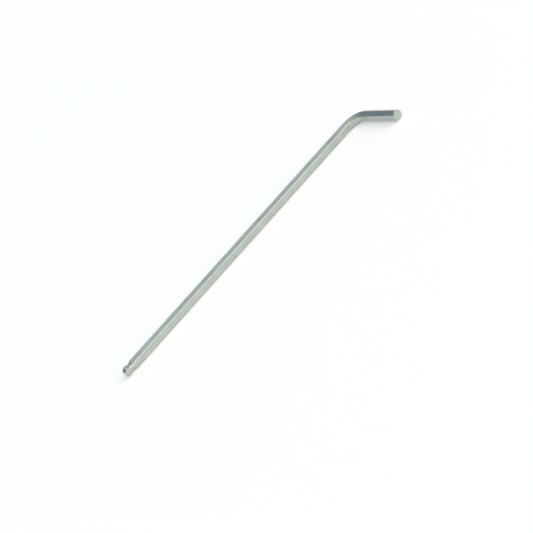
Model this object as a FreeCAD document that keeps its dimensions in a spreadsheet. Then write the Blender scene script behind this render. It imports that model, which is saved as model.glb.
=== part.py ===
"""Long-arm ball-end hex key: one hex bar, bent once, with a ball turned on its long arm.

The key lies flat: its bend is in the horizontal plane and it rests on the bottom corners of both
arms. The long arm runs along Y with the ball at its -Y end, and the short arm points along +X.
The origin is the middle of the key's outer box, on the surface that it lies on. Millimetres.
"""
import FreeCAD, Part
import Sketcher
import math
import os

DIMENSIONS = {
    # bar
    "across_flats": 4.0,
    "corner_radius": 0.3,  # rounding of the six long corners
    # arms, each measured from the other arm's outer flat to its own end
    "long_arm": 154.0,
    "short_arm": 33.0,
    "bend_radius": 7.5,  # of the bar's centre line
    # ball end
    "ball_across_flats": 3.92,  # a little under the bar, so that the ball swings in a socket
    "ball_turned_radius": 2.2,  # the sphere turned first, which blunts the ball's corners
    "tip_depth": 1.86,  # from the ball's centre to the small flat on the tip
    "neck_radius": 1.55,
    "neck_fillet": 0.6,  # concave radius between the ball and the shoulder
    "neck_flat_radius": 1.6,  # where the ball's flats run out beside the neck
    "shoulder_angle": 20.0,  # degrees between the shoulder's side and the arm
    # chamfer turned on the short arm's end
    "chamfer_face_radius": 2.08,
    "chamfer_angle": 30.0,  # degrees between the chamfer and the arm
    # how far the cutting profiles reach out from the arm's middle
    "cut_reach": 3.5,
}
FLATS = 6
HALF_STEP = math.pi / FLATS  # half the angle between two neighbouring flats

# Formulas over the sheet: a name in brackets is an alias.
LONG_STRAIGHT = "[long_arm] - [across_flats] / 2 - [bend_radius]"
SHORT_STRAIGHT = "[short_arm] - [across_flats] / 2 - [bend_radius]"
CORNER_RADIUS = "([across_flats] / 2 - [corner_radius]) * 2 / sqrt(3) + [corner_radius]"

# Places on a piece of sketch geometry, as the sketcher numbers them.
START, END, CENTRE = 1, 2, 3
SKETCH_ORIGIN = -1, 1
SKETCH_X = -1
SKETCH_Y = -2


def flat_vector(x, y):
    return FreeCAD.Vector(x, y, 0)


def add_sheet(doc):
    """Put every driving dimension in a spreadsheet, each under its own alias."""
    sheet = doc.addObject("Spreadsheet::Sheet", "Dimensions")
    for row, (name, value) in enumerate(DIMENSIONS.items(), start=1):
        sheet.set(f"A{row}", name)
        sheet.set(f"B{row}", str(value))
        sheet.setAlias(f"B{row}", name)


def bind(target, path, formula):
    """Tie a property to a formula over the sheet."""
    target.setExpression(path, formula.replace("[", "Dimensions.").replace("]", ""))


def origin_feature(body, role):
    return next(item for item in body.Origin.OriginFeatures if item.Role == role)


def add_sketch(body, name, role, offset_x="0", offset_y="0"):
    """Return an empty sketch on one of the body's origin planes, moved within that plane."""
    sketch = body.newObject("Sketcher::SketchObject", name)
    sketch.AttachmentSupport = [(origin_feature(body, role), "")]
    sketch.MapMode = "FlatFace"
    bind(sketch, "AttachmentOffset.Base.x", offset_x)
    bind(sketch, "AttachmentOffset.Base.y", offset_y)
    return sketch


def constrain(sketch, *arguments):
    return sketch.addConstraint(Sketcher.Constraint(*arguments))


def dimension(sketch, name, formula, *arguments):
    """Add a named dimension to a sketch and tie it to the sheet."""
    index = constrain(sketch, *arguments)
    sketch.renameConstraint(index, name)
    bind(sketch, f"Constraints.{name}", formula)


def add_line(sketch, start, end):
    return sketch.addGeometry(Part.LineSegment(flat_vector(*start), flat_vector(*end)), False)


def circle(centre, radius):
    return Part.Circle(flat_vector(*centre), FreeCAD.Vector(0, 0, 1), radius)


def add_arc(sketch, centre, radius, start_angle, end_angle):
    """Add the arc that runs anticlockwise between two angles in radians."""
    arc = Part.ArcOfCircle(circle(centre, radius), start_angle, end_angle)
    return sketch.addGeometry(arc, False)


def draw_bar_section(sketch):
    """Draw six flats, two of them facing along the sketch's X, joined by tangent corner arcs."""
    flat_radius = DIMENSIONS["across_flats"] / 2
    rounding = DIMENSIONS["corner_radius"]
    half_flat = (flat_radius - rounding) * math.tan(HALF_STEP)
    arc_distance = (flat_radius - rounding) / math.cos(HALF_STEP)

    flats = []
    corners = []
    for side in range(FLATS):
        facing = 2 * HALF_STEP * side
        normal = flat_vector(math.cos(facing), math.sin(facing))
        along = flat_vector(-math.sin(facing), math.cos(facing))
        middle = normal * flat_radius
        line = Part.LineSegment(middle - along * half_flat, middle + along * half_flat)
        flats.append(sketch.addGeometry(line, False))
        corner = facing + HALF_STEP
        centre = (arc_distance * math.cos(corner), arc_distance * math.sin(corner))
        corners.append(add_arc(sketch, centre, rounding, corner - HALF_STEP, corner + HALF_STEP))
    guide = sketch.addGeometry(circle((0, 0), flat_radius), True)

    constrain(sketch, "Coincident", guide, CENTRE, *SKETCH_ORIGIN)
    constrain(sketch, "Vertical", flats[0])
    for side in range(FLATS):
        following = flats[(side + 1) % FLATS]
        constrain(sketch, "Tangent", flats[side], END, corners[side], START)
        constrain(sketch, "Tangent", corners[side], END, following, START)
        constrain(sketch, "Tangent", flats[side], guide)
    for side in range(1, FLATS):
        turn = 2 * HALF_STEP - math.pi
        constrain(sketch, "Equal", corners[0], corners[side])
        constrain(sketch, "Angle", flats[side - 1], END, flats[side], START, turn)
    dimension(sketch, "flat_radius", "[across_flats] / 2", "Radius", guide, flat_radius)
    dimension(sketch, "rounding", "[corner_radius]", "Radius", corners[0], rounding)


def add_bar(body):
    """Build the plain bent bar. The bend's axis is the body's Z axis."""
    bend_start = add_sketch(body, "BendStart", "XZ_Plane", offset_x="-[bend_radius]")
    bend_end = add_sketch(body, "BendEnd", "YZ_Plane", offset_x="[bend_radius]")
    draw_bar_section(bend_start)
    draw_bar_section(bend_end)

    long_arm = body.newObject("PartDesign::Pad", "LongArm")
    long_arm.Profile = bend_start
    bind(long_arm, "Length", LONG_STRAIGHT)

    bend = body.newObject("PartDesign::Revolution", "Bend")
    bend.Profile = bend_start
    bend.ReferenceAxis = (origin_feature(body, "Z_Axis"), [""])
    bend.Angle = 90
    bend.Reversed = True

    short_arm = body.newObject("PartDesign::Pad", "ShortArm")
    short_arm.Profile = bend_end
    bind(short_arm, "Length", SHORT_STRAIGHT)
    return short_arm


def add_ball_sketch(body, name):
    """Return a sketch centred on the ball, whose Y runs up the long arm."""
    return add_sketch(body, name, "XY_Plane", "-[bend_radius]", f"[tip_depth] - ({LONG_STRAIGHT})")


def add_ball_turning(body):
    """Turn the ball, the concave neck and the shoulder that rises to the bar's full corners."""
    sketch = add_ball_sketch(body, "BallTurningProfile")
    ball = DIMENSIONS["ball_turned_radius"]
    neck = DIMENSIONS["neck_radius"]
    fillet = DIMENSIONS["neck_fillet"]
    reach = DIMENSIONS["cut_reach"]
    slope = math.radians(DIMENSIONS["shoulder_angle"])

    neck_x = neck + fillet
    neck_y = math.sqrt((ball + fillet) ** 2 - neck_x**2)
    meeting = math.atan2(neck_y, neck_x)
    shoulder = (neck_x - fillet * math.cos(slope), neck_y + fillet * math.sin(slope))
    top = (reach, shoulder[1] + (reach - shoulder[0]) / math.tan(slope))

    ball_arc = add_arc(sketch, (0, 0), ball, -math.pi / 2, meeting)
    neck_arc = add_arc(sketch, (neck_x, neck_y), fillet, math.pi - slope, math.pi + meeting)
    side = add_line(sketch, shoulder, top)
    outside = add_line(sketch, top, (reach, -ball))
    below = add_line(sketch, (reach, -ball), (0, -ball))

    constrain(sketch, "Coincident", ball_arc, CENTRE, *SKETCH_ORIGIN)
    constrain(sketch, "PointOnObject", ball_arc, START, SKETCH_Y)
    constrain(sketch, "Tangent", ball_arc, END, neck_arc, END)
    constrain(sketch, "Tangent", neck_arc, START, side, START)
    constrain(sketch, "Coincident", side, END, outside, START)
    constrain(sketch, "Coincident", outside, END, below, START)
    constrain(sketch, "Coincident", below, END, ball_arc, START)
    constrain(sketch, "Vertical", outside)
    constrain(sketch, "Horizontal", below)
    dimension(sketch, "ball", "[ball_turned_radius]", "Radius", ball_arc, ball)
    dimension(sketch, "fillet", "[neck_fillet]", "Radius", neck_arc, fillet)
    dimension(sketch, "neck", "[neck_radius] + [neck_fillet]", "DistanceX",
              *SKETCH_ORIGIN, neck_arc, CENTRE, neck_x)
    dimension(sketch, "reach", "[cut_reach]", "DistanceX", *SKETCH_ORIGIN, outside, END, reach)
    dimension(sketch, "slope", "90 - [shoulder_angle]", "Angle", SKETCH_X, side,
              math.pi / 2 - slope)

    turning = body.newObject("PartDesign::Groove", "BallTurning")
    turning.Profile = sketch
    turning.ReferenceAxis = (sketch, ["V_Axis"])
    turning.Angle = 360
    return turning


def add_ball_flats(body):
    """Cut the ball's six barrel-shaped flats, which follow the bar's own six flats."""
    sketch = add_ball_sketch(body, "BallFlatProfile")
    flat = DIMENSIONS["ball_across_flats"] / 2
    edge = DIMENSIONS["neck_flat_radius"]
    reach = DIMENSIONS["cut_reach"]
    neck_x = DIMENSIONS["neck_radius"] + DIMENSIONS["neck_fillet"]
    neck_y = math.sqrt((DIMENSIONS["ball_turned_radius"] + DIMENSIONS["neck_fillet"]) ** 2 - neck_x**2)
    run_out = math.sqrt(flat**2 - edge**2)

    barrel = add_arc(sketch, (0, 0), flat, -math.pi / 2, math.atan2(run_out, edge))
    relief = add_line(sketch, (edge, run_out), (edge, neck_y))
    above = add_line(sketch, (edge, neck_y), (reach, neck_y))
    outside = add_line(sketch, (reach, neck_y), (reach, -flat))
    below = add_line(sketch, (reach, -flat), (0, -flat))
    outline = [barrel, relief, above, outside, below]

    constrain(sketch, "Coincident", barrel, CENTRE, *SKETCH_ORIGIN)
    constrain(sketch, "PointOnObject", barrel, START, SKETCH_Y)
    for piece, following in zip(outline[:-1], outline[1:]):
        constrain(sketch, "Coincident", piece, END, following, START)
    constrain(sketch, "Coincident", below, END, barrel, START)
    constrain(sketch, "Vertical", relief)
    constrain(sketch, "Horizontal", above)
    constrain(sketch, "Vertical", outside)
    constrain(sketch, "Horizontal", below)
    dimension(sketch, "flat", "[ball_across_flats] / 2", "Radius", barrel, flat)
    dimension(sketch, "edge", "[neck_flat_radius]", "DistanceX",
              *SKETCH_ORIGIN, relief, END, edge)
    dimension(sketch, "reach", "[cut_reach]", "DistanceX", *SKETCH_ORIGIN, outside, END, reach)
    ball_to_neck = "pow([ball_turned_radius] + [neck_fillet]; 2)"
    neck_centre = "pow([neck_radius] + [neck_fillet]; 2)"
    dimension(sketch, "top", f"sqrt({ball_to_neck} - {neck_centre})", "DistanceY",
              *SKETCH_ORIGIN, relief, END, neck_y)

    flat_cut = body.newObject("PartDesign::Pocket", "BallFlat")
    flat_cut.Profile = sketch
    flat_cut.SideType = "Symmetric"
    bind(flat_cut, "Length", "2 * [cut_reach]")

    pattern = body.newObject("PartDesign::PolarPattern", "BallFlats")
    pattern.Originals = [flat_cut]
    pattern.Axis = (sketch, ["V_Axis"])
    pattern.Angle = 360
    pattern.Occurrences = FLATS
    body.Tip = pattern
    return pattern


def add_end_chamfer(body):
    """Turn the cone that takes the corners off the short arm's end."""
    sketch = add_sketch(body, "EndChamferProfile", "XY_Plane", SHORT_STRAIGHT, "[bend_radius]")
    face = DIMENSIONS["chamfer_face_radius"]
    reach = DIMENSIONS["cut_reach"]
    angle = math.radians(DIMENSIONS["chamfer_angle"])
    depth = (reach - face) / math.tan(angle)

    cone = add_line(sketch, (0, face), (-depth, reach))
    outside = add_line(sketch, (-depth, reach), (0, reach))
    front = add_line(sketch, (0, reach), (0, face))

    constrain(sketch, "Coincident", cone, END, outside, START)
    constrain(sketch, "Coincident", outside, END, front, START)
    constrain(sketch, "Coincident", front, END, cone, START)
    constrain(sketch, "PointOnObject", cone, START, SKETCH_Y)
    constrain(sketch, "Vertical", front)
    constrain(sketch, "Horizontal", outside)
    dimension(sketch, "face", "[chamfer_face_radius]", "DistanceY",
              *SKETCH_ORIGIN, cone, START, face)
    dimension(sketch, "reach", "[cut_reach]", "DistanceY", *SKETCH_ORIGIN, outside, END, reach)
    dimension(sketch, "depth", "([cut_reach] - [chamfer_face_radius]) / tan([chamfer_angle])",
              "DistanceX", outside, START, outside, END, depth)

    chamfer = body.newObject("PartDesign::Groove", "EndChamfer")
    chamfer.Profile = sketch
    chamfer.ReferenceAxis = (sketch, ["H_Axis"])
    chamfer.Angle = 360
    return chamfer


def add_hex_key(doc):
    """Build the key and lay it on its bottom corners, centred on the origin."""
    body = doc.addObject("PartDesign::Body", "HexKey")
    body.Label = "hex_key"
    stages = [add_bar(body), add_ball_turning(body), add_ball_flats(body), add_end_chamfer(body)]
    body.Tip = stages[-1]
    bind(body, "Placement.Base.x", "[bend_radius] - ([short_arm] - [across_flats]) / 2")
    bind(body, "Placement.Base.y", "[long_arm] / 2 - [across_flats] / 2 - [bend_radius]")
    bind(body, "Placement.Base.z", CORNER_RADIUS)
    doc.recompute()

    for before, after in zip(stages[:-1], stages[1:]):
        if after.Shape.Volume >= before.Shape.Volume:
            raise RuntimeError(f"{after.Name} cut nothing")
    return body


def check(doc, parts):
    """Stop if any object failed or any sub-part isn't a valid solid."""
    for item in doc.Objects:
        if "Invalid" in item.State or "Error" in item.State:
            raise RuntimeError(f"{item.Name} failed: {item.State}")
        if item.isDerivedFrom("Sketcher::SketchObject") and not item.FullyConstrained:
            raise RuntimeError(f"{item.Name} isn't fully constrained")
    for part in parts:
        if part.Shape.isNull() or not part.Shape.isValid():
            raise RuntimeError(f"{part.Label} has no valid shape")


def main():
    doc = FreeCAD.newDocument("hex_key")
    add_sheet(doc)
    doc.recompute()
    parts = [add_hex_key(doc)]
    check(doc, parts)
    os.makedirs("parts", exist_ok=True)
    for part in parts:
        part.Shape.exportStep(f"parts/{part.Label}.step")
        print(part.Label, f"{part.Shape.Volume:.1f} mm3", part.Shape.BoundBox)


main()
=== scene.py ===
"""The look of the long-arm ball-end hex key: its mesh, its satin plating, and a plain light studio.

Metres, in the CAD model's frame: +Z up, the long arm along Y with its ball at -Y, and the short
arm pointing along +X. The key lies on the floor at z = 0.
"""

import math

import bpy
from mathutils import Matrix, Vector


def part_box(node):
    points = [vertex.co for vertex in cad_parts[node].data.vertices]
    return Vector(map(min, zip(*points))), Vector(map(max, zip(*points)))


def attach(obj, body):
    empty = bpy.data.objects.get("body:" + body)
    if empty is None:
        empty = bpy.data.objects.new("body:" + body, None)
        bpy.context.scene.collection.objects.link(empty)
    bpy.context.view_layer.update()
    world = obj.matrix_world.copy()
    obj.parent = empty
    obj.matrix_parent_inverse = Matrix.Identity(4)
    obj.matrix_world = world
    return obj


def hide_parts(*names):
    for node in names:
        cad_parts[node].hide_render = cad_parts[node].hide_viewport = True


MM = 0.001

# The key's sizes, as the CAD model has them.
FLAT_RADIUS = 2.0 * MM
CORNER_ROUNDING = 0.3 * MM
BEND_RADIUS = 7.5 * MM
BALL_FLAT_RADIUS = 1.96 * MM
BALL_TURNED_RADIUS = 2.2 * MM
TIP_DEPTH = 1.86 * MM
NECK_RADIUS = 1.55 * MM
NECK_FILLET = 0.6 * MM
NECK_FLAT_RADIUS = 1.6 * MM
SHOULDER_ANGLE = math.radians(20)
CHAMFER_FACE_RADIUS = 2.08 * MM
CHAMFER_ANGLE = math.radians(30)

# One small nick that handling has left in the long arm, beside its lower inner corner.
NICK_PLACE = 67.5 * MM
NICK_ANGLE = math.radians(-24)
NICK_HALF_LENGTH = 0.60 * MM
NICK_HALF_WIDTH = 0.32 * MM
NICK_DEPTH = 0.10 * MM

# Small roundings of the plated edges.
BALL_ROUNDING = 0.07 * MM
CREASE_SOFTNESS = 0.04 * MM
RIM_ROUNDING = 0.07 * MM
CORNER_WEAR_REACH = math.radians(7)

# How finely the surface is drawn.
SIDES = 6
SECTOR = math.tau / SIDES
FLAT_STEPS = 14
CORNER_STEPS = 10
FINE_STEP = 0.05 * MM
RIM_STEP = 0.015 * MM
ARM_STEP = 1.0 * MM
BEND_STEP = 0.25 * MM
END_FACE_SHARES = (0.97, 0.85, 0.65, 0.45, 0.25, 0.1)  # of the rim, from the outermost ring in
STEP_SLACK = 1e-6  # of a step, so that a whole number of steps isn't rounded up


# --- shape ---------------------------------------------------------------------------------------

NECK_CENTRE = NECK_RADIUS + NECK_FILLET
NECK_HEIGHT = math.sqrt((BALL_TURNED_RADIUS + NECK_FILLET) ** 2 - NECK_CENTRE**2)
BALL_END = NECK_HEIGHT * BALL_TURNED_RADIUS / (BALL_TURNED_RADIUS + NECK_FILLET)
SHOULDER_START = NECK_HEIGHT + NECK_FILLET * math.sin(SHOULDER_ANGLE)
SHOULDER_END = 4.2 * MM  # above the ball's centre, where the shoulder no longer cuts the bar
CHAMFER_ZONE = 0.6 * MM  # behind the end face, where the chamfer no longer cuts the bar
UNTURNED_RADIUS = 2 * FLAT_RADIUS  # outside the bar, so it cuts nothing


def ball_flat_radius(height):
    """Distance of the flats from the axis, at a height above the ball's centre."""
    run_out = math.sqrt(BALL_FLAT_RADIUS**2 - NECK_FLAT_RADIUS**2)
    if height < run_out:
        return math.sqrt(BALL_FLAT_RADIUS**2 - height**2)
    if height < NECK_HEIGHT:
        return NECK_FLAT_RADIUS
    return FLAT_RADIUS


def ball_turned_radius(height):
    """Radius of the turned ball, neck and shoulder, at a height above the ball's centre."""
    if height < BALL_END:
        return math.sqrt(BALL_TURNED_RADIUS**2 - height**2)
    if height < SHOULDER_START:
        return NECK_CENTRE - math.sqrt(NECK_FILLET**2 - (height - NECK_HEIGHT) ** 2)
    start_radius = NECK_CENTRE - NECK_FILLET * math.cos(SHOULDER_ANGLE)
    return start_radius + (height - SHOULDER_START) * math.tan(SHOULDER_ANGLE)


def hexagon_radius(angle, flat, rounding):
    """Distance from the middle of a round-cornered hexagon to its edge. A flat faces angle 0."""
    from_flat = abs((angle + SECTOR / 2) % SECTOR - SECTOR / 2)
    half_flat = (flat - rounding) * math.tan(SECTOR / 2)
    if flat * math.tan(from_flat) <= half_flat:
        return flat / math.cos(from_flat)
    centre = (flat - rounding) / math.cos(SECTOR / 2)
    from_corner = SECTOR / 2 - from_flat
    across = centre * math.sin(from_corner)
    return centre * math.cos(from_corner) + math.sqrt(max(rounding**2 - across**2, 0.0))


def lower_of(a, b, softness):
    """The lower of two lengths, with the crease between them rounded."""
    blend = max(softness - abs(a - b), 0.0) / softness
    return min(a, b) - blend * blend * softness / 4


def nick_share(along, angle):
    """How far into the nick a point of the surface is: 1 in its middle, and 0 outside it."""
    turn = (angle - NICK_ANGLE + math.pi) % math.tau - math.pi
    lengthwise = (along - NICK_PLACE) / NICK_HALF_LENGTH
    crosswise = turn * FLAT_RADIUS / NICK_HALF_WIDTH
    return max(0.0, 1 - lengthwise**2 - crosswise**2) ** 1.5


def rim_inset(depth):
    """How much an end face's rounded rim takes off the radius, at a depth behind the face."""
    if depth >= RIM_ROUNDING:
        return 0.0
    return RIM_ROUNDING - math.sqrt(RIM_ROUNDING**2 - (RIM_ROUNDING - depth) ** 2)


def spread(start, end, step):
    """Evenly spaced values from start up to, and not including, end."""
    count = max(1, math.ceil((end - start) / step - STEP_SLACK))
    return [start + (end - start) * i / count for i in range(count)]


def section_angles():
    """Angles of one section's points: even over each flat, and close together at each corner."""
    half_flat = (FLAT_RADIUS - CORNER_ROUNDING) * math.tan(SECTOR / 2)
    flat_end = math.atan(half_flat / FLAT_RADIUS)
    angles = []
    for side in range(SIDES):
        middle = side * SECTOR
        angles += spread(middle - flat_end, middle + flat_end, 2 * flat_end / FLAT_STEPS)
        corner_start = middle + flat_end
        corner_end = middle + SECTOR - flat_end
        angles += spread(corner_start, corner_end, (corner_end - corner_start) / CORNER_STEPS)
    return angles


class KeyShape:
    """The key's surface by distance along its centre line, from the ball's tip, and angle."""

    def __init__(self, low, high):
        self.bend_centre = Vector((
            low.x + FLAT_RADIUS + BEND_RADIUS,
            high.y - FLAT_RADIUS - BEND_RADIUS,
            (low.z + high.z) / 2,
        ))
        self.bend_start = self.bend_centre.y - low.y
        self.bend_end = self.bend_start + BEND_RADIUS * math.pi / 2
        self.length = self.bend_end + high.x - self.bend_centre.x

    def centre_and_inward(self, along):
        """The centre line's point, and the direction from it to the inside of the bend."""
        turned = min(max((along - self.bend_start) / BEND_RADIUS, 0.0), math.pi / 2)
        inward = Vector((math.cos(turned), -math.sin(turned), 0))
        point = self.bend_centre - inward * BEND_RADIUS
        point.y += min(along - self.bend_start, 0.0)
        point.x += max(along - self.bend_end, 0.0)
        return point, inward

    def radius(self, along, angle):
        """The surface's radius there, and how far turning has cut below the hexagon."""
        height = along - TIP_DEPTH
        to_end = self.length - along
        flat = FLAT_RADIUS
        rounding = CORNER_ROUNDING
        turned = UNTURNED_RADIUS
        if height < SHOULDER_END:
            flat = ball_flat_radius(height)
            turned = ball_turned_radius(height)
            rounding = BALL_ROUNDING if height < NECK_HEIGHT else CORNER_ROUNDING
        elif to_end < CHAMFER_ZONE:
            turned = CHAMFER_FACE_RADIUS + to_end * math.tan(CHAMFER_ANGLE)
        hexagon = hexagon_radius(angle, flat, rounding)
        surface = lower_of(hexagon, turned, CREASE_SOFTNESS)
        surface -= rim_inset(min(along, to_end)) + NICK_DEPTH * nick_share(along, angle)
        return surface, hexagon - turned

    def stations(self):
        """Distances along the key at which a section is drawn."""
        shoulder_top = TIP_DEPTH + SHOULDER_END
        chamfer_bottom = self.length - CHAMFER_ZONE
        end_rim = self.length - RIM_ROUNDING
        nick_start = NICK_PLACE - NICK_HALF_LENGTH
        nick_end = NICK_PLACE + NICK_HALF_LENGTH
        return (
            spread(0, RIM_ROUNDING, RIM_STEP)
            + spread(RIM_ROUNDING, shoulder_top, FINE_STEP)
            + spread(shoulder_top, nick_start, ARM_STEP)
            + spread(nick_start, nick_end, FINE_STEP)
            + spread(nick_end, self.bend_start, ARM_STEP)
            + spread(self.bend_start, self.bend_end, BEND_STEP)
            + spread(self.bend_end, chamfer_bottom, ARM_STEP)
            + spread(chamfer_bottom, end_rim, FINE_STEP)
            + spread(end_rim, self.length, RIM_STEP)
            + [self.length]
        )


def key_rings(shape):
    """Each ring's distance along the key and its size, as a share of the whole section."""
    rings = [(0.0, share) for share in reversed(END_FACE_SHARES)]
    rings += [(along, 1.0) for along in shape.stations()]
    rings += [(shape.length, share) for share in END_FACE_SHARES]
    return rings


def key_faces(ring_count, count):
    """Quads between neighbouring rings, and triangles round the middle point of each end face.

    The middle points come after the rings' points, the one on the ball's tip first.
    """
    faces = []
    for ring in range(ring_count - 1):
        this = ring * count
        following = this + count
        for i in range(count):
            j = (i + 1) % count
            faces.append((this + j, this + i, following + i, following + j))
    tip_middle = ring_count * count
    end_middle = tip_middle + 1
    last = tip_middle - count
    faces += [(tip_middle, i, (i + 1) % count) for i in range(count)]
    faces += [(end_middle, last + (i + 1) % count, last + i) for i in range(count)]
    return faces


def make_key_mesh(shape):
    """Build the key as rings of points joined by quads, closed by smaller rings at each end.

    For the material, each point also keeps its place on the straight bar, before bending, and
    four marks from 0 to 1: on a corner, turned, on an end face, and in the nick.
    """
    angles = section_angles()
    rings = key_rings(shape)
    points = []
    straight = []
    marks = {"corner": [], "turned": [], "faced": [], "nick": []}
    for along, share in rings:
        centre, inward = shape.centre_and_inward(along)
        outside = 1.0 if share == 1.0 else 0.0
        for angle in angles:
            radius, cut_depth = shape.radius(along, angle)
            across = math.cos(angle) * radius * share
            up = math.sin(angle) * radius * share
            points.append(centre + inward * across + Vector((0, 0, up)))
            straight.append((along, across, up))
            from_corner = abs(angle % SECTOR - SECTOR / 2)
            corner = max(0.0, 1 - from_corner / CORNER_WEAR_REACH)
            turned = min(max(cut_depth / CREASE_SOFTNESS + 0.5, 0.0), 1.0)
            marks["corner"].append(corner * (1 - turned) * outside)
            marks["turned"].append(turned * outside)
            marks["faced"].append(1 - outside)
            marks["nick"].append(nick_share(along, angle))
    for along in (0.0, shape.length):
        points.append(shape.centre_and_inward(along)[0])
        straight.append((along, 0.0, 0.0))
        for name, values in marks.items():
            values.append(1.0 if name == "faced" else 0.0)

    mesh = bpy.data.meshes.new("hex_key_surface")
    mesh.from_pydata(points, [], key_faces(len(rings), len(angles)))
    mesh.shade_smooth()
    store = mesh.attributes.new("straight_bar", "FLOAT_VECTOR", "POINT")
    store.data.foreach_set("vector", [value for place in straight for value in place])
    for name, values in marks.items():
        store = mesh.attributes.new(name, "FLOAT", "POINT")
        store.data.foreach_set("value", values)
    mesh.update()
    return mesh


# --- materials -----------------------------------------------------------------------------------


class Graph:
    """Adds shader nodes. An input given as a socket is linked, and anything else is set."""

    # The Mix node's sockets for colours.
    MIX_FIRST = 6
    MIX_SECOND = 7
    MIX_RESULT = 2

    def __init__(self, tree):
        self.tree = tree
        tree.nodes.clear()

    def add(self, kind, inputs=None, **settings):
        node = self.tree.nodes.new(kind)
        for name, value in settings.items():
            setattr(node, name, value)
        for name, value in (inputs or {}).items():
            if isinstance(value, bpy.types.NodeSocket):
                self.tree.links.new(value, node.inputs[name])
            else:
                node.inputs[name].default_value = value
        return node

    def attribute(self, name, output):
        return self.add("ShaderNodeAttribute", attribute_name=name).outputs[output]

    def math(self, operation, *values, clamp=False):
        inputs = dict(enumerate(values))
        return self.add("ShaderNodeMath", inputs, operation=operation, use_clamp=clamp).outputs[0]

    def stretched(self, vector, scale):
        node = self.add("ShaderNodeVectorMath", {0: vector, 1: scale}, operation="MULTIPLY")
        return node.outputs[0]

    def turned(self, place, angle):
        """The place turned by an angle about the straight bar's upward line."""
        inputs = {"Vector": place, "Angle": angle}
        node = self.add("ShaderNodeVectorRotate", inputs, rotation_type="Z_AXIS")
        return node.outputs[0]

    def from_axis(self, place):
        """Distance from the straight bar's axis, as the X of a vector."""
        off_axis = self.stretched(place, (0, 1, 1))
        length = self.add("ShaderNodeVectorMath", {0: off_axis}, operation="LENGTH")
        return self.add("ShaderNodeCombineXYZ", {"X": length.outputs["Value"]}).outputs[0]

    def noise(self, vector, scale, detail=3.0, roughness=0.5):
        inputs = {"Vector": vector, "Scale": scale, "Detail": detail, "Roughness": roughness}
        return self.add("ShaderNodeTexNoise", inputs).outputs["Fac"]

    def remap(self, value, from_low, from_high, to_low, to_high, smooth=False):
        inputs = {
            "Value": value,
            "From Min": from_low,
            "From Max": from_high,
            "To Min": to_low,
            "To Max": to_high,
        }
        kind = "SMOOTHSTEP" if smooth else "LINEAR"
        node = self.add("ShaderNodeMapRange", inputs, interpolation_type=kind)
        return node.outputs["Result"]

    def mix(self, factor, first, second):
        inputs = {0: factor, self.MIX_FIRST: first, self.MIX_SECOND: second}
        return self.add("ShaderNodeMix", inputs, data_type="RGBA").outputs[self.MIX_RESULT]


PLATE_LIGHT = (0.530, 0.569, 0.516, 1)
PLATE_DULL = (0.437, 0.476, 0.437, 1)
PLATE_WORN = (0.577, 0.600, 0.567, 1)
NICK_DARK = (0.20, 0.21, 0.195, 1)
WEAR_UNEVENNESS = (0.35, 1.0)
WORN_SHARE = 0.8  # how far a worn corner goes to its own colour
NICK_UNEVENNESS = (0.5, 1.6)
NICK_DARKENING = 1.2
HAIRLINE_SLANT = math.radians(16)
HAIRLINE_HALF_WIDTH = 0.008  # in the noise's own values, either side of its middle
NOISE_MIDDLE = 0.5
NOISE_LOW = 0.3  # most of a noise's values lie between these two
NOISE_HIGH = 0.7

# What each pattern adds to the roughness.
GRAIN_ROUGHNESS = (0.24, 0.36)
CLOUD_ROUGHNESS = (-0.03, 0.05)
WORN_SMOOTHING = 0.08
HAIRLINE_ROUGHNESS = 0.08
NICK_ROUGHNESS = 0.4

# How much each pattern counts in the relief.
GRAIN_RELIEF = 0.6
SCRATCH_RELIEF = 0.5
TURNING_RELIEF = 1.2
FACING_RELIEF = 0.9
PIT_RELIEF = 0.5
HAIRLINE_RELIEF = -0.25
RELIEF_STRENGTH = 0.35
RELIEF_HEIGHT = 0.01 * MM
EVERYWHERE = 1.0


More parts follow.
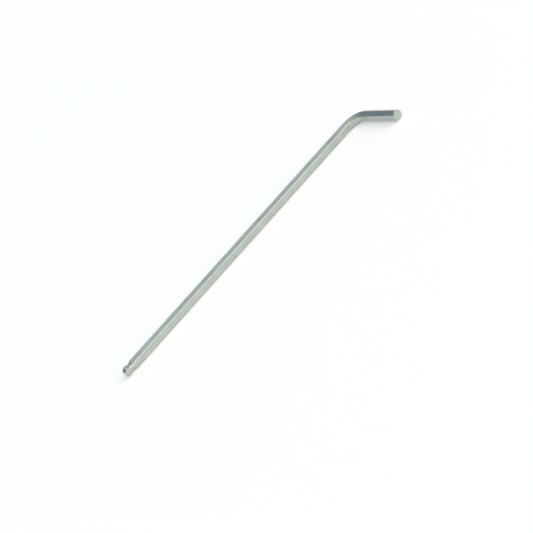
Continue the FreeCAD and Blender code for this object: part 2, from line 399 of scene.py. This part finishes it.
def make_plated_steel():
    """Satin nickel plate over a drawn bar, with the marks of its making and of handling.

    The bar has lengthwise grain, the ball and shoulder have turning marks round them, and the two
    end faces have facing marks round their middles. Handling has worn the corners bright, left
    hairlines that run aslant along the bar, and made one dark nick.
    """
    material = bpy.data.materials.new("plated_steel")
    material.use_nodes = True
    graph = Graph(material.node_tree)
    place = graph.attribute("straight_bar", "Vector")
    corner = graph.attribute("corner", "Fac")
    turned = graph.attribute("turned", "Fac")
    faced = graph.attribute("faced", "Fac")
    nick = graph.attribute("nick", "Fac")

    # A noise has about as many waves per metre as its scale. A stretch below 1 draws it out that way.
    clouds = graph.noise(graph.stretched(place, (0.35, 1, 1)), 420, detail=4)
    blotches = graph.noise(place, 1500, detail=3, roughness=0.6)
    grain = graph.noise(graph.stretched(place, (0.03, 1, 1)), 9000, detail=4, roughness=0.6)
    scratches = graph.noise(graph.stretched(place, (0.012, 1, 1)), 16000, detail=2)
    pits = graph.noise(place, 12000, detail=2, roughness=0.7)
    turning_marks = graph.noise(graph.stretched(place, (1, 0.02, 0.02)), 14000, detail=2)
    facing_marks = graph.noise(graph.from_axis(place), 9000, detail=2)

    # A hairline is where a slanted noise passes through its middle.
    slanted = graph.turned(place, HAIRLINE_SLANT)
    hairline_field = graph.noise(graph.stretched(slanted, (0.05, 1, 1)), 1400, detail=1)
    from_line = graph.math("ABSOLUTE", graph.math("SUBTRACT", hairline_field, NOISE_MIDDLE))
    hairlines = graph.remap(from_line, 0.0, HAIRLINE_HALF_WIDTH, 1.0, 0.0)
    on_bar = graph.math("SUBTRACT", 1.0, graph.math("ADD", turned, faced, clamp=True))
    hairlines = graph.math("MULTIPLY", hairlines, on_bar)
    worn = graph.math("MULTIPLY", corner, graph.remap(blotches, 0.35, 0.6, *WEAR_UNEVENNESS))

    tone = graph.math("ADD", graph.remap(clouds, NOISE_LOW, NOISE_HIGH, 0.0, 0.65),
                      graph.remap(grain, NOISE_LOW, NOISE_HIGH, 0.0, 0.35))
    colour = graph.mix(tone, PLATE_DULL, PLATE_LIGHT)
    colour = graph.mix(graph.math("MULTIPLY", worn, WORN_SHARE), colour, PLATE_WORN)
    unevenness = graph.remap(blotches, 0.35, 0.65, *NICK_UNEVENNESS)
    uneven_nick = graph.math("MULTIPLY", nick, unevenness)
    nick_darkness = graph.math("MULTIPLY", uneven_nick, NICK_DARKENING, clamp=True)
    colour = graph.mix(nick_darkness, colour, NICK_DARK)

    roughness = graph.remap(grain, NOISE_LOW, NOISE_HIGH, *GRAIN_ROUGHNESS)
    cloudiness = graph.remap(clouds, NOISE_LOW, NOISE_HIGH, *CLOUD_ROUGHNESS)
    roughness = graph.math("ADD", roughness, cloudiness)
    roughness = graph.math("SUBTRACT", roughness, graph.math("MULTIPLY", worn, WORN_SMOOTHING))
    roughness = graph.math("ADD", roughness, graph.math("MULTIPLY", hairlines, HAIRLINE_ROUGHNESS))
    nick_roughness = graph.math("MULTIPLY", nick, NICK_ROUGHNESS)
    roughness = graph.math("ADD", roughness, nick_roughness, clamp=True)

    relief = graph.math("ADD", graph.math("MULTIPLY", grain, GRAIN_RELIEF),
                        graph.math("MULTIPLY", scratches, SCRATCH_RELIEF))
    relief = graph.math("MULTIPLY", relief, on_bar)
    for marks, region, depth in (
        (turning_marks, turned, TURNING_RELIEF),
        (facing_marks, faced, FACING_RELIEF),
        (pits, EVERYWHERE, PIT_RELIEF),
        (hairlines, EVERYWHERE, HAIRLINE_RELIEF),
    ):
        cut = graph.math("MULTIPLY", graph.math("MULTIPLY", marks, depth), region)
        relief = graph.math("ADD", relief, cut)
    bump = graph.add("ShaderNodeBump", {
        "Height": relief,
        "Strength": RELIEF_STRENGTH,
        "Distance": RELIEF_HEIGHT,
    })

    shader = graph.add("ShaderNodeBsdfPrincipled", {
        "Base Color": colour,
        "Metallic": 1.0,
        "Roughness": roughness,
        "Normal": bump.outputs[0],
    })
    graph.add("ShaderNodeOutputMaterial", {"Surface": shader.outputs[0]})
    return material


FLOOR_WHITE = (0.980, 0.938, 0.930, 1)
FLOOR_GLOW = 0.17


def make_floor_material():
    """Matt white board that glows a little, like a light table."""
    material = bpy.data.materials.new("floor_white")
    material.use_nodes = True
    graph = Graph(material.node_tree)
    shader = graph.add("ShaderNodeBsdfPrincipled", {
        "Base Color": FLOOR_WHITE,
        "Roughness": 0.8,
        "Specular IOR Level": 0.1,
        "Emission Color": (1, 1, 1, 1),
        "Emission Strength": FLOOR_GLOW,
    })
    graph.add("ShaderNodeOutputMaterial", {"Surface": shader.outputs[0]})
    return material


# --- studio --------------------------------------------------------------------------------------

FLOOR_SIZE = 30.0

# The dome, and the bright screen on one side of it.
SKY_STOPS = (
    # height of the direction (sine of its elevation), colour
    (0.00, (1.200, 1.200, 1.200)),
    (0.10, (0.780, 0.820, 0.820)),
    (0.26, (0.275, 0.363, 0.424)),
    (0.60, (0.242, 0.314, 0.358)),
    (0.86, (0.396, 0.462, 0.468)),
    (1.00, (0.726, 0.825, 0.814)),
)
BRIGHT_SIDE = (1.52, 1.54, 1.54, 1)
BRIGHT_AZIMUTH = math.radians(118)
BRIGHT_EDGE = (0.0, 0.5)  # cosines of the angle from the screen's middle: none of it, all of it

# The key light is one large soft box.
KEY_LIGHT_AZIMUTH = math.radians(130)
KEY_LIGHT_ELEVATION = math.radians(32)
KEY_LIGHT_DISTANCE = 5.5
KEY_LIGHT_WIDTH = 9.0
KEY_LIGHT_HEIGHT = 4.2
KEY_LIGHT_BRIGHTNESS = 0.38

# The camera, which aims at a point beside the long arm's middle.
CAMERA_AZIMUTH = math.radians(71.226)
CAMERA_ELEVATION = math.radians(23.872)
CAMERA_ROLL = math.radians(40.659)
CAMERA_DISTANCE = 0.577
CAMERA_AIM = Vector((0.0140, -0.0111, 0.0))
CAMERA_VIEW_ANGLE = math.radians(20.9)
CAMERA_CLIP_START = 0.01


def direction(azimuth, elevation):
    """Unit vector from the key outwards. Azimuth 0 is -Y, and 90 degrees is +X."""
    flat = math.cos(elevation)
    return Vector((math.sin(azimuth) * flat, -math.cos(azimuth) * flat, math.sin(elevation)))


def add_object(name, data):
    item = bpy.data.objects.new(name, data)
    bpy.context.scene.collection.objects.link(item)
    return item


def add_camera():
    camera = add_object("camera", bpy.data.cameras.new("camera"))
    camera.data.angle = CAMERA_VIEW_ANGLE
    camera.data.clip_start = CAMERA_CLIP_START
    back = direction(CAMERA_AZIMUTH, CAMERA_ELEVATION)
    camera.rotation_mode = "QUATERNION"
    upright = (-back).to_track_quat("-Z", "Y")
    rolled = Matrix.Rotation(-CAMERA_ROLL, 4, "Z").to_quaternion()
    camera.rotation_quaternion = upright @ rolled
    camera.location = CAMERA_AIM + back * CAMERA_DISTANCE
    bpy.context.scene.camera = camera


def add_floor():
    half = FLOOR_SIZE / 2
    mesh = bpy.data.meshes.new("floor")
    mesh.from_pydata([(-half, -half, 0), (half, -half, 0), (half, half, 0), (-half, half, 0)],
                     [], [(0, 1, 2, 3)])
    mesh.materials.append(make_floor_material())
    floor = add_object("floor", mesh)


def add_key_light():
    """A large soft box aimed at the key. Its power follows from its brightness and area."""
    light = bpy.data.lights.new("key_light", "AREA")
    light.shape = "RECTANGLE"
    light.size = KEY_LIGHT_WIDTH
    light.size_y = KEY_LIGHT_HEIGHT
    light.energy = KEY_LIGHT_BRIGHTNESS * math.pi * KEY_LIGHT_WIDTH * KEY_LIGHT_HEIGHT
    item = add_object("key_light", light)
    back = direction(KEY_LIGHT_AZIMUTH, KEY_LIGHT_ELEVATION)
    item.location = back * KEY_LIGHT_DISTANCE
    item.rotation_mode = "QUATERNION"
    item.rotation_quaternion = (-back).to_track_quat("-Z", "Y")


def add_sky():
    """A studio dome, one side of it a bright white screen.

    The other side is bright at the horizon, darker above it, and lighter again overhead.
    """
    world = bpy.data.worlds.new("studio")
    bpy.context.scene.world = world
    world.use_nodes = True
    graph = Graph(world.node_tree)
    coordinates = graph.add("ShaderNodeTexCoord").outputs["Generated"]
    height = graph.add("ShaderNodeSeparateXYZ", {0: coordinates}).outputs["Z"]
    ramp = graph.add("ShaderNodeValToRGB", {"Fac": height})
    ramp.color_ramp.interpolation = "EASE"
    elements = ramp.color_ramp.elements
    while len(elements) < len(SKY_STOPS):
        elements.new(1.0)
    for element, (position, colour) in zip(elements, SKY_STOPS):
        element.position = position
        element.color = (*colour, 1)
    bright_direction = direction(BRIGHT_AZIMUTH, 0)
    towards = graph.add("ShaderNodeVectorMath", {0: coordinates, 1: bright_direction},
                        operation="DOT_PRODUCT").outputs["Value"]
    bright = graph.remap(towards, *BRIGHT_EDGE, 0.0, 1.0, smooth=True)
    colour = graph.mix(bright, ramp.outputs["Color"], BRIGHT_SIDE)
    shader = graph.add("ShaderNodeBackground", {"Color": colour, "Strength": 1.0})
    graph.add("ShaderNodeOutputWorld", {"Surface": shader.outputs[0]})


# --- the scene -----------------------------------------------------------------------------------


def add_hex_key():
    shape = KeyShape(*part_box("hex_key"))
    key = add_object("hex_key_surface", make_key_mesh(shape))
    key.data.materials.append(make_plated_steel())
    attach(key, "root")
    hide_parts("hex_key")


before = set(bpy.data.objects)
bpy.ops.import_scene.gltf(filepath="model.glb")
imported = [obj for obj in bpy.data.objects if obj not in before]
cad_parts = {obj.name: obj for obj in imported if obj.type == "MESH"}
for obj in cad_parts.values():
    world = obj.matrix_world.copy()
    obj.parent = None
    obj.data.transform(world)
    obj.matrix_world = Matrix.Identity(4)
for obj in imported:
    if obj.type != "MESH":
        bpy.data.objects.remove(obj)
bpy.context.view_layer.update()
bpy.context.scene.view_settings.view_transform = "Standard"
add_camera()
add_hex_key()
add_floor()
add_sky()
add_key_light()
